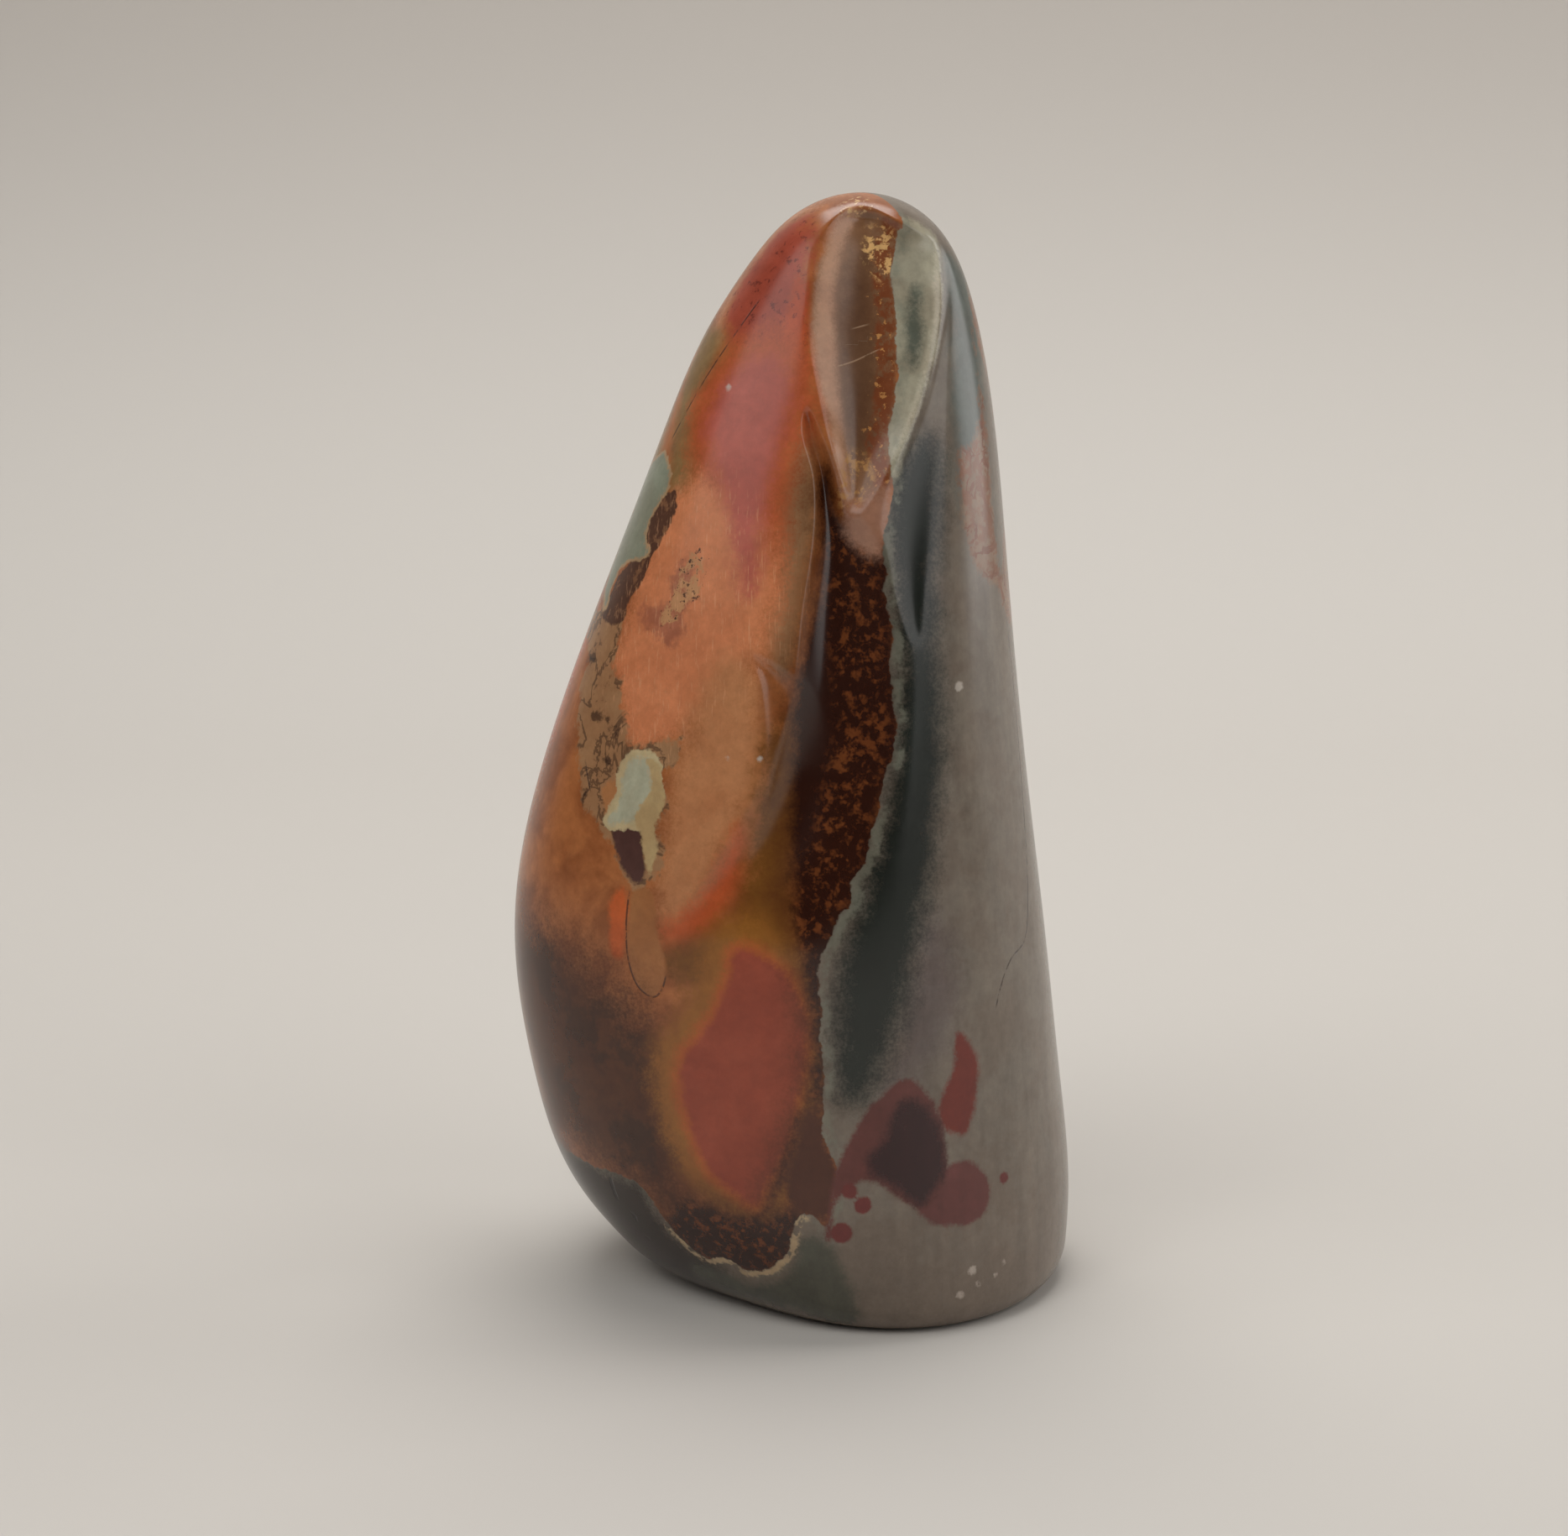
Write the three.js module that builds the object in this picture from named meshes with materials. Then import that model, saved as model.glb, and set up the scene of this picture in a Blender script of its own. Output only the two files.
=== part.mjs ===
// A polished polychrome jasper freeform: one flame-shaped stone that stands on a small flat cut foot.
// Millimetres, +Z up. The origin is at the foot, under the middle of the stone's box, and -Y is the
// front, where a leaf-shaped scoop, a groove beside it and a long valley below it are ground in.
import * as THREE from "three";

const height = 160;
const footEdge = { rise: 5, inset: 4 };

// The mesh: columns round the stone, closer together at the front, and rows from the tip down.
const columns = 72;
const rows = { body: 60, edge: 3, foot: 2 };
const frontGather = 0.4;
const tipSpread = 0.4;

// Level sections: the middle of each from left to right, and its reach from there in eight
// directions, an eighth of a turn apart: right, back right, back, back left, left, front left, front
// and front right. Every middle is at the same small depth, which centres the stone's box.
const middleDepth = 0.12;
const sections = [
  { z: 0, middle: 8.4, reach: [32.5, 32, 30, 30, 30, 25.5, 29.5, 33] },
  { z: 12, middle: 4.6, reach: [37.1, 34, 32, 33.5, 36.6, 30.6, 32, 34.8] },
  { z: 30, middle: 0.6, reach: [39.5, 34.5, 32, 35.5, 39.5, 33.5, 32, 35.5] },
  { z: 54, middle: -2.2, reach: [39.4, 33.5, 31, 35, 39.4, 32.5, 31, 35.5] },
  { z: 78, middle: -1.4, reach: [35.5, 30.5, 28.5, 32, 35.5, 29.5, 28.5, 32.4] },
  { z: 102, middle: 1.6, reach: [29.9, 26.5, 25, 27.5, 29.9, 25.5, 25, 28] },
  { z: 126, middle: 5.1, reach: [24, 21.5, 20, 22, 24, 20.8, 20, 22.3] },
  { z: 142, middle: 7.3, reach: [19, 17.2, 16, 17.5, 19, 16.8, 16, 17.6] },
  { z: 152, middle: 8.9, reach: [13.8, 12.8, 12, 13.2, 13.8, 12.8, 12, 13.2] },
  { z: 158, middle: 9.4, reach: [7.6, 7.3, 7, 7.3, 7.6, 7.2, 7, 7.3] },
];

// A smooth curve through points, as a function, with no bend at its two ends.
function curveThrough(at, values) {
  const last = at.length - 1;
  const bend = new Array(last + 1).fill(0);
  const carry = new Array(last + 1).fill(0);
  for (let i = 1; i < last; i++) {
    const share = (at[i] - at[i - 1]) / (at[i + 1] - at[i - 1]);
    const pull = share * carry[i - 1] + 2;
    const rise = (values[i + 1] - values[i]) / (at[i + 1] - at[i]);
    const before = (values[i] - values[i - 1]) / (at[i] - at[i - 1]);
    carry[i] = (share - 1) / pull;
    bend[i] = ((6 * (rise - before)) / (at[i + 1] - at[i - 1]) - share * bend[i - 1]) / pull;
  }
  for (let i = last - 1; i >= 0; i--) bend[i] += carry[i] * bend[i + 1];
  return (x) => {
    let i = 0;
    while (i < last - 1 && x > at[i + 1]) i++;
    const span = at[i + 1] - at[i];
    const b = (x - at[i]) / span;
    const a = 1 - b;
    const sag = ((a ** 3 - a) * bend[i] + (b ** 3 - b) * bend[i + 1]) * (span ** 2 / 6);
    return a * values[i] + b * values[i + 1] + sag;
  };
}

// The stone's round shoulder: 1 at the foot, falling to 0 at the tip as an ellipse does.
const shoulder = (z) => Math.sqrt(Math.max(0, 1 - (z / height) ** 2));

const sectionHeights = sections.map((s) => s.z);
const middleAt = curveThrough(sectionHeights, sections.map((s) => s.middle));
const fullnessCurves = sections[0].reach.map((_, way) =>
  curveThrough(sectionHeights, sections.map((s) => s.reach[way] / shoulder(s.z))),
);

// How much one of the eight reaches counts in a direction that is a given turn away from it.
function reachWeight(turn) {
  const waves = 1 + 2 * (Math.cos(turn) + Math.cos(2 * turn) + Math.cos(3 * turn)) + Math.cos(4 * turn);
  return waves / 8;
}

// How far the stone reaches at a height, in the direction of a turn from +X through +Y.
function reachAt(z, turn) {
  let fullness = 0;
  fullnessCurves.forEach((curve, way) => {
    fullness += curve(z) * reachWeight(turn - (way * Math.PI) / 4);
  });
  return fullness * shoulder(z);
}

// The hollows, each as it looks from its own side: its two edges as points [z, x], how deep it was
// ground, and the width at which it has most of that depth. A hollow with a fade has an edge on its
// left only, and runs out to nothing on its right and over that many millimetres at its lower end.
const hollows = {
  scoop: {
    side: -1,
    depth: 3.6,
    fullWidth: 8,
    left: [[158.6, 8.4], [154.8, 4], [146, 2], [141.4, 1.6], [135.6, 2.5], [126.5, 4.8], [115.5, 7.7]],
    right: [
      [158.6, 9.6], [155.7, 15.1], [153.4, 19.2], [149.3, 20.4], [144, 20.3],
      [137, 19], [131.7, 17.5], [124.2, 14], [117.3, 9.7], [115.5, 7.9],
    ],
  },
  groove: {
    side: -1,
    depth: 0.9,
    fullWidth: 6,
    left: [
      [154, 20], [149.3, 20.8], [144, 20.8], [137, 19.5], [131.7, 18],
      [124.2, 14.8], [117, 12.6], [110, 12.8], [104, 14.5], [98, 17.1],
    ],
    right: [[154, 20.6], [148.3, 22], [139.6, 21.5], [127, 20.4], [114, 19.2], [105, 18], [98, 17.3]],
  },
  valley: {
    side: -1,
    depth: 3.4,
    fullWidth: 5,
    fade: 26,
    left: [
      [131.5, 1.4], [127.4, 1.1], [123, 2.4], [118.8, 2.9], [111.8, 2.5], [103, 1.1],
      [93, -0.1], [83.8, -2.4], [76.9, -4.4], [69.9, -6.5], [56, -9],
    ],
    right: [
      [131.5, 2], [127, 4.3], [122.4, 6.4], [116.8, 9.5], [112.2, 13], [107.6, 15],
      [99.6, 17], [91.5, 18], [83.4, 17.6], [74, 16.4], [56, 12],
    ],
  },
  facet: {
    side: -1,
    depth: 1.3,
    fullWidth: 3,
    fade: 14,
    left: [
      [98, -7], [95.5, -5.4], [91.3, -4.5], [86.5, -4.2], [80.8, -4.9],
      [77.2, -5.9], [73.5, -7.7], [67.1, -11.5], [57.5, -16.9],
    ],
    right: [[98, -6.8], [94, 1], [88, 5.5], [80, 7], [70, 5], [57.5, -4]],
  },
  backFlat: {
    side: 1,
    depth: 2.2,
    fullWidth: 8,
    left: [[140, 3], [120, -5], [90, -14], [62, -17], [40, -9]],
    right: [[140, 4], [120, 10], [90, 9], [62, 2], [40, -8]],
  },
};
const edgeCurve = (points) => {
  const upward = [...points].reverse();
  return curveThrough(upward.map((p) => p[0]), upward.map((p) => p[1]));
};
for (const hollow of Object.values(hollows)) {
  hollow.top = hollow.left[0][0];
  hollow.foot = hollow.left.at(-1)[0];
  hollow.leftEdge = edgeCurve(hollow.left);
  hollow.rightEdge = edgeCurve(hollow.right);
}

// Where a hollow ends, its rim is polished round over about this much depth, and its two tips run out
// over a short height. A hollow stays on its own side: it is at its full depth from this far round
// the stone's flank, as a sine of the turn.
const rimSoftness = 0.25;
const tipRun = 2.5;
const narrowest = 0.05;
const flankSine = 1 / 3;

const smoothStep = (t) => THREE.MathUtils.smoothstep(t, 0, 1);
const softened = (depth) => (depth + Math.hypot(depth, rimSoftness)) / 2;

// How far one hollow was ground in below the point x, z of the side that it is on. Across its width
// a closed hollow is a parabola, deepest halfway, and one with a fade is deepest a third of the way.
function groundDepth(hollow, x, z) {
  if (z >= hollow.top || z <= hollow.foot) return 0;
  const width = Math.max(hollow.rightEdge(z) - hollow.leftEdge(z), narrowest);
  const across = (x - hollow.leftEdge(z)) / width;
  const depth = (hollow.depth * width) / Math.hypot(width, hollow.fullWidth);
  const lowRun = hollow.fade ?? tipRun;
  const ends = smoothStep((hollow.top - z) / tipRun) * smoothStep((z - hollow.foot) / lowRun);
  if (!hollow.fade) return softened(4 * depth * across * (1 - across)) * ends;
  const runOut = Math.min(1, Math.max(0, 1 - across)) ** 2;
  return softened((27 / 4) * depth * across) * runOut * ends;
}

// One point of the stone's side at a height: its reach less an inset and what was ground away.
function sidePoint(z, turn, inset = 0) {
  let reach = reachAt(z, turn) - inset;
  const seenAt = middleAt(z) + reach * Math.cos(turn);
  for (const hollow of Object.values(hollows)) {
    const facing = Math.min(1, (hollow.side * Math.sin(turn)) / flankSine);
    if (facing > 0) reach -= facing * groundDepth(hollow, seenAt, z);
  }
  return [middleAt(z) + reach * Math.cos(turn), middleDepth + reach * Math.sin(turn), z];
}

// The height of a body row: 0 is the tip, and the last one is where the foot's round edge begins.
function rowHeight(row) {
  const down = row / rows.body;
  const spread = tipSpread * (1 - (1 - down) ** 2) + (1 - tipSpread) * down;
  return height * Math.cos(spread * Math.acos(footEdge.rise / height));
}

function stonePoint(row, turn) {
  if (row <= rows.body) return sidePoint(rowHeight(row), turn);
  const edgeRow = Math.min(row - rows.body, rows.edge);
  const roll = ((edgeRow / rows.edge) * Math.PI) / 2;
  const z = footEdge.rise * (1 - Math.sin(roll));
  const [x, y] = sidePoint(z, turn, footEdge.inset * (1 - Math.cos(roll)));
  const footRow = Math.max(0, row - rows.body - rows.edge);
  const inward = footRow / rows.foot;
  return [x + (middleAt(0) - x) * inward, y + (middleDepth - y) * inward, z];
}

function stoneGeometry() {
  const allRows = rows.body + rows.edge + rows.foot;
  const shape = new THREE.SphereGeometry(1, columns, allRows);
  const place = shape.getAttribute("position");
  for (let row = 0; row <= allRows; row++) {
    for (let column = 0; column <= columns; column++) {
      const even = ((column % columns) / columns) * 2 * Math.PI;
      const turn = even - frontGather * Math.cos(even);
      place.setXYZ(row * (columns + 1) + column, ...stonePoint(row, turn));
    }
  }
  shape.computeVertexNormals();
  return shape;
}

const jasper = new THREE.MeshStandardMaterial({ color: 0x8a5f45, roughness: 0.18, metalness: 0 });
const stone = new THREE.Mesh(stoneGeometry(), jasper);
stone.name = "jasper_stone";

const freeform = new THREE.Group();
freeform.add(stone);

export default freeform;
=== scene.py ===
import math

import bmesh
import bpy
import numpy as np
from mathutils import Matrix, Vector
from mathutils.bvhtree import BVHTree


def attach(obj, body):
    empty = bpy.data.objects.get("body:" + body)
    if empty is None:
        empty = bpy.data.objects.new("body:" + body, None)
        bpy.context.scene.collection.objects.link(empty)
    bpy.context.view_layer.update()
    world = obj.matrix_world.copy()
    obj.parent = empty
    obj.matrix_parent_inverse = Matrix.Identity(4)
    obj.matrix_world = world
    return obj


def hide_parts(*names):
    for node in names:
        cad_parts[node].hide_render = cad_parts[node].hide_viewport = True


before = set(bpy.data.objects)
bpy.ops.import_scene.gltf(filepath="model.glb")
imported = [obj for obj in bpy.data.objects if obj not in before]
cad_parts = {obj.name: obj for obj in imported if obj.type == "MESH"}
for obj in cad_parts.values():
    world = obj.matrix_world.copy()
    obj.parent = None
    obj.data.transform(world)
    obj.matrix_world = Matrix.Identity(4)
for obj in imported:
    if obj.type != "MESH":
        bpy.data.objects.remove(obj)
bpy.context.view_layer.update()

# A polished polychrome jasper freeform. Shapes below are in millimetres, and objects are in metres.
mm = 0.001

# the photograph that is matched: its frame and focal length in pixels, where the camera aims and its
# distance in millimetres, its elevation in degrees, and the nearest thing that it shows in metres
photo = {
    "width": 1868,
    "height": 1830,
    "focal": 3390,
    "aim": (-1.4, 0, 76.7),
    "distance": 420,
    "elevation": 11,
    "sensor": 36,
    "nearest": 0.01,
}


def makeCamera():
    rise = math.radians(photo["elevation"])
    back = Vector((0, -math.cos(rise), math.sin(rise)))
    data = bpy.data.cameras.new("photoCamera")
    data.sensor_width = photo["sensor"]
    data.lens = photo["focal"] / photo["width"] * photo["sensor"]
    data.clip_start = photo["nearest"]
    camera = bpy.data.objects.new("photoCamera", data)
    camera.location = (Vector(photo["aim"]) + back * photo["distance"]) * mm
    camera.rotation_euler = (math.pi / 2 - rise, 0, 0)
    bpy.context.scene.collection.objects.link(camera)
    bpy.context.scene.camera = camera
    return camera


# the stone's form, its mesh, and how its hollows are rounded over
form = {
    "height": 160,
    "footRise": 5,
    "footInset": 4,
    "middleDepth": 0.12,
    "tipSpread": 0.4,
    "frontGather": 0.4,
    "columns": 300,
    "bodyRows": 300,
    "edgeRows": 10,
    "footRows": 10,
    "within": 0.9988,
    "rimSoftness": 0.25,
    "tipRun": 2.5,
    "narrowest": 0.05,
    "flankSine": 1 / 3,
}
# level sections: the middle of each, and its reach in eight ways, from the right through the back
ways = 8
sections = [
    {"z": 0, "middle": 8.4, "reach": [32.5, 32, 30, 30, 30, 25.5, 29.5, 33]},
    {"z": 12, "middle": 4.6, "reach": [37.1, 34, 32, 33.5, 36.6, 30.6, 32, 34.8]},
    {"z": 30, "middle": 0.6, "reach": [39.5, 34.5, 32, 35.5, 39.5, 33.5, 32, 35.5]},
    {"z": 54, "middle": -2.2, "reach": [39.4, 33.5, 31, 35, 39.4, 32.5, 31, 35.5]},
    {"z": 78, "middle": -1.4, "reach": [35.5, 30.5, 28.5, 32, 35.5, 29.5, 28.5, 32.4]},
    {"z": 102, "middle": 1.6, "reach": [29.9, 26.5, 25, 27.5, 29.9, 25.5, 25, 28]},
    {"z": 126, "middle": 5.1, "reach": [24, 21.5, 20, 22, 24, 20.8, 20, 22.3]},
    {"z": 142, "middle": 7.3, "reach": [19, 17.2, 16, 17.5, 19, 16.8, 16, 17.6]},
    {"z": 152, "middle": 8.9, "reach": [13.8, 12.8, 12, 13.2, 13.8, 12.8, 12, 13.2]},
    {"z": 158, "middle": 9.4, "reach": [7.6, 7.3, 7, 7.3, 7.6, 7.2, 7, 7.3]},
]
# hollows between a left and a right edge of points (height, across), as seen from the hollow's own side
hollows = {
    "scoop": {
        "side": -1,
        "depth": 3.6,
        "fullWidth": 8,
        "left": [(158.6, 8.4), (154.8, 4), (146, 2), (141.4, 1.6), (135.6, 2.5), (126.5, 4.8), (115.5, 7.7)],
        "right": [(158.6, 9.6), (155.7, 15.1), (153.4, 19.2), (149.3, 20.4), (144, 20.3),
                  (137, 19), (131.7, 17.5), (124.2, 14), (117.3, 9.7), (115.5, 7.9)],
    },
    "groove": {
        "side": -1,
        "depth": 0.9,
        "fullWidth": 6,
        "left": [(154, 20), (149.3, 20.8), (144, 20.8), (137, 19.5), (131.7, 18),
                 (124.2, 14.8), (117, 12.6), (110, 12.8), (104, 14.5), (98, 17.1)],
        "right": [(154, 20.6), (148.3, 22), (139.6, 21.5), (127, 20.4), (114, 19.2), (105, 18), (98, 17.3)],
    },
    "valley": {
        "side": -1,
        "depth": 3.4,
        "fullWidth": 5,
        "fade": 26,
        "left": [(131.5, 1.4), (127.4, 1.1), (123, 2.4), (118.8, 2.9), (111.8, 2.5), (103, 1.1),
                 (93, -0.1), (83.8, -2.4), (76.9, -4.4), (69.9, -6.5), (56, -9)],
        "right": [(131.5, 2), (127, 4.3), (122.4, 6.4), (116.8, 9.5), (112.2, 13), (107.6, 15),
                  (99.6, 17), (91.5, 18), (83.4, 17.6), (74, 16.4), (56, 12)],
    },
    "facet": {
        "side": -1,
        "depth": 1.3,
        "fullWidth": 3,
        "fade": 14,
        "left": [(98, -7), (95.5, -5.4), (91.3, -4.5), (86.5, -4.2), (80.8, -4.9),
                 (77.2, -5.9), (73.5, -7.7), (67.1, -11.5), (57.5, -16.9)],
        "right": [(98, -6.8), (94, 1), (88, 5.5), (80, 7), (70, 5), (57.5, -4)],
    },
    "backFlat": {
        "side": 1,
        "depth": 2.2,
        "fullWidth": 8,
        "left": [(140, 3), (120, -5), (90, -14), (62, -17), (40, -9)],
        "right": [(140, 4), (120, 10), (90, 9), (62, 2), (40, -8)],
    },
}


def curveThrough(at, values):  # a smooth curve through points, with no bend at its two ends
    at, values = np.array(at, float), np.array(values, float)
    spans, last = np.diff(at), len(at) - 1
    balance, pull = np.eye(last + 1), np.zeros(last + 1)
    for i in range(1, last):
        balance[i, i - 1:i + 2] = spans[i - 1], 2 * (spans[i - 1] + spans[i]), spans[i]
        pull[i] = 6 * ((values[i + 1] - values[i]) / spans[i] - (values[i] - values[i - 1]) / spans[i - 1])
    bend = np.linalg.solve(balance, pull)

    def curve(x):
        i = np.clip(np.searchsorted(at, x) - 1, 0, last - 1)
        b = (x - at[i]) / spans[i]
        a = 1 - b
        sag = ((a ** 3 - a) * bend[i] + (b ** 3 - b) * bend[i + 1]) * spans[i] ** 2 / 6
        return a * values[i] + b * values[i + 1] + sag

    return curve


def shoulder(z):  # 1 at the foot, falling to 0 at the tip as an ellipse does
    return np.sqrt(np.maximum(0, 1 - (z / form["height"]) ** 2))


sectionHeights = [s["z"] for s in sections]
middleAt = curveThrough(sectionHeights, [s["middle"] for s in sections])
fullnessCurves = [
    curveThrough(sectionHeights, [s["reach"][way] / shoulder(s["z"]) for s in sections]) for way in range(ways)
]
for hollow in hollows.values():
    for edge in ("left", "right"):
        upward = hollow[edge][::-1]
        hollow[edge + "Edge"] = curveThrough([p[0] for p in upward], [p[1] for p in upward])


def reachAt(z, turn):  # how far the stone reaches at a height, a turn from +X through +Y
    fullness = 0
    for way, curve in enumerate(fullnessCurves):
        t = turn - way * 2 * math.pi / ways
        weight = (1 + 2 * (np.cos(t) + np.cos(2 * t) + np.cos(3 * t)) + np.cos(4 * t)) / ways
        fullness = fullness + curve(z) * weight
    return fullness * shoulder(z)


def softened(depth):  # a depth whose zero is rounded over
    return (depth + np.hypot(depth, form["rimSoftness"])) / 2


def smoothStep(t):  # 0 at 0 and 1 at 1, level at both
    t = np.clip(t, 0, 1)
    return t * t * (3 - 2 * t)


def groundDepth(hollow, x, z):  # how far one hollow was ground in below the point x, z of its side
    top, foot = hollow["left"][0][0], hollow["left"][-1][0]
    level = np.clip(z, foot, top)
    width = np.maximum(hollow["rightEdge"](level) - hollow["leftEdge"](level), form["narrowest"])
    across = (x - hollow["leftEdge"](level)) / width
    depth = hollow["depth"] * width / np.hypot(width, hollow["fullWidth"])
    lowRun = hollow.get("fade", form["tipRun"])
    ends = smoothStep((top - level) / form["tipRun"]) * smoothStep((level - foot) / lowRun)
    if "fade" not in hollow:
        return softened(4 * depth * across * (1 - across)) * ends
    return softened(27 / 4 * depth * across) * np.clip(1 - across, 0, 1) ** 2 * ends


def sidePoint(z, turn, inset=0):  # points of the stone's side, less an inset and what was ground away
    reach = reachAt(z, turn) * form["within"] - inset
    seenAt = middleAt(z) + reach * np.cos(turn)
    for hollow in hollows.values():
        facing = np.clip(hollow["side"] * np.sin(turn) / form["flankSine"], 0, 1)
        reach = reach - facing * groundDepth(hollow, seenAt, z)
    x, y = middleAt(z) + reach * np.cos(turn), form["middleDepth"] + reach * np.sin(turn)
    return np.stack([x, y, z + 0 * x], axis=-1)


def stonePoints(row, turn):  # row 0 is the tip, then come the body, the foot's round edge and the foot
    down = np.minimum(row / form["bodyRows"], 1)
    spread = form["tipSpread"] * (1 - (1 - down) ** 2) + (1 - form["tipSpread"]) * down
    z = form["height"] * np.cos(spread * math.acos(form["footRise"] / form["height"]))
    roll = np.clip((row - form["bodyRows"]) / form["edgeRows"], 0, 1) * math.pi / 2
    z = np.where(roll > 0, form["footRise"] * (1 - np.sin(roll)), z)
    points = sidePoint(z, turn, form["footInset"] * (1 - np.cos(roll)))
    inward = np.clip((row - form["bodyRows"] - form["edgeRows"]) / form["footRows"], 0, 1)[:, None]
    footMiddle = np.array([middleAt(0), form["middleDepth"], 0])
    return points + (footMiddle - points) * inward


def shapeStone():
    rows = form["bodyRows"] + form["edgeRows"] + form["footRows"]
    stone = bmesh.new()
    bmesh.ops.create_uvsphere(stone, u_segments=form["columns"], v_segments=rows, radius=1)
    ball = np.array([v.co for v in stone.verts])
    even = np.arctan2(ball[:, 1], ball[:, 0])
    row = np.arccos(np.clip(ball[:, 2], -1, 1)) / math.pi * rows
    turn = even - form["frontGather"] * np.cos(even)
    for vertex, point in zip(stone.verts, stonePoints(row, turn) * mm):
        vertex.co = point
    bmesh.ops.recalc_face_normals(stone, faces=stone.faces)
    for face in stone.faces:
        face.smooth = True
    return stone


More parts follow.
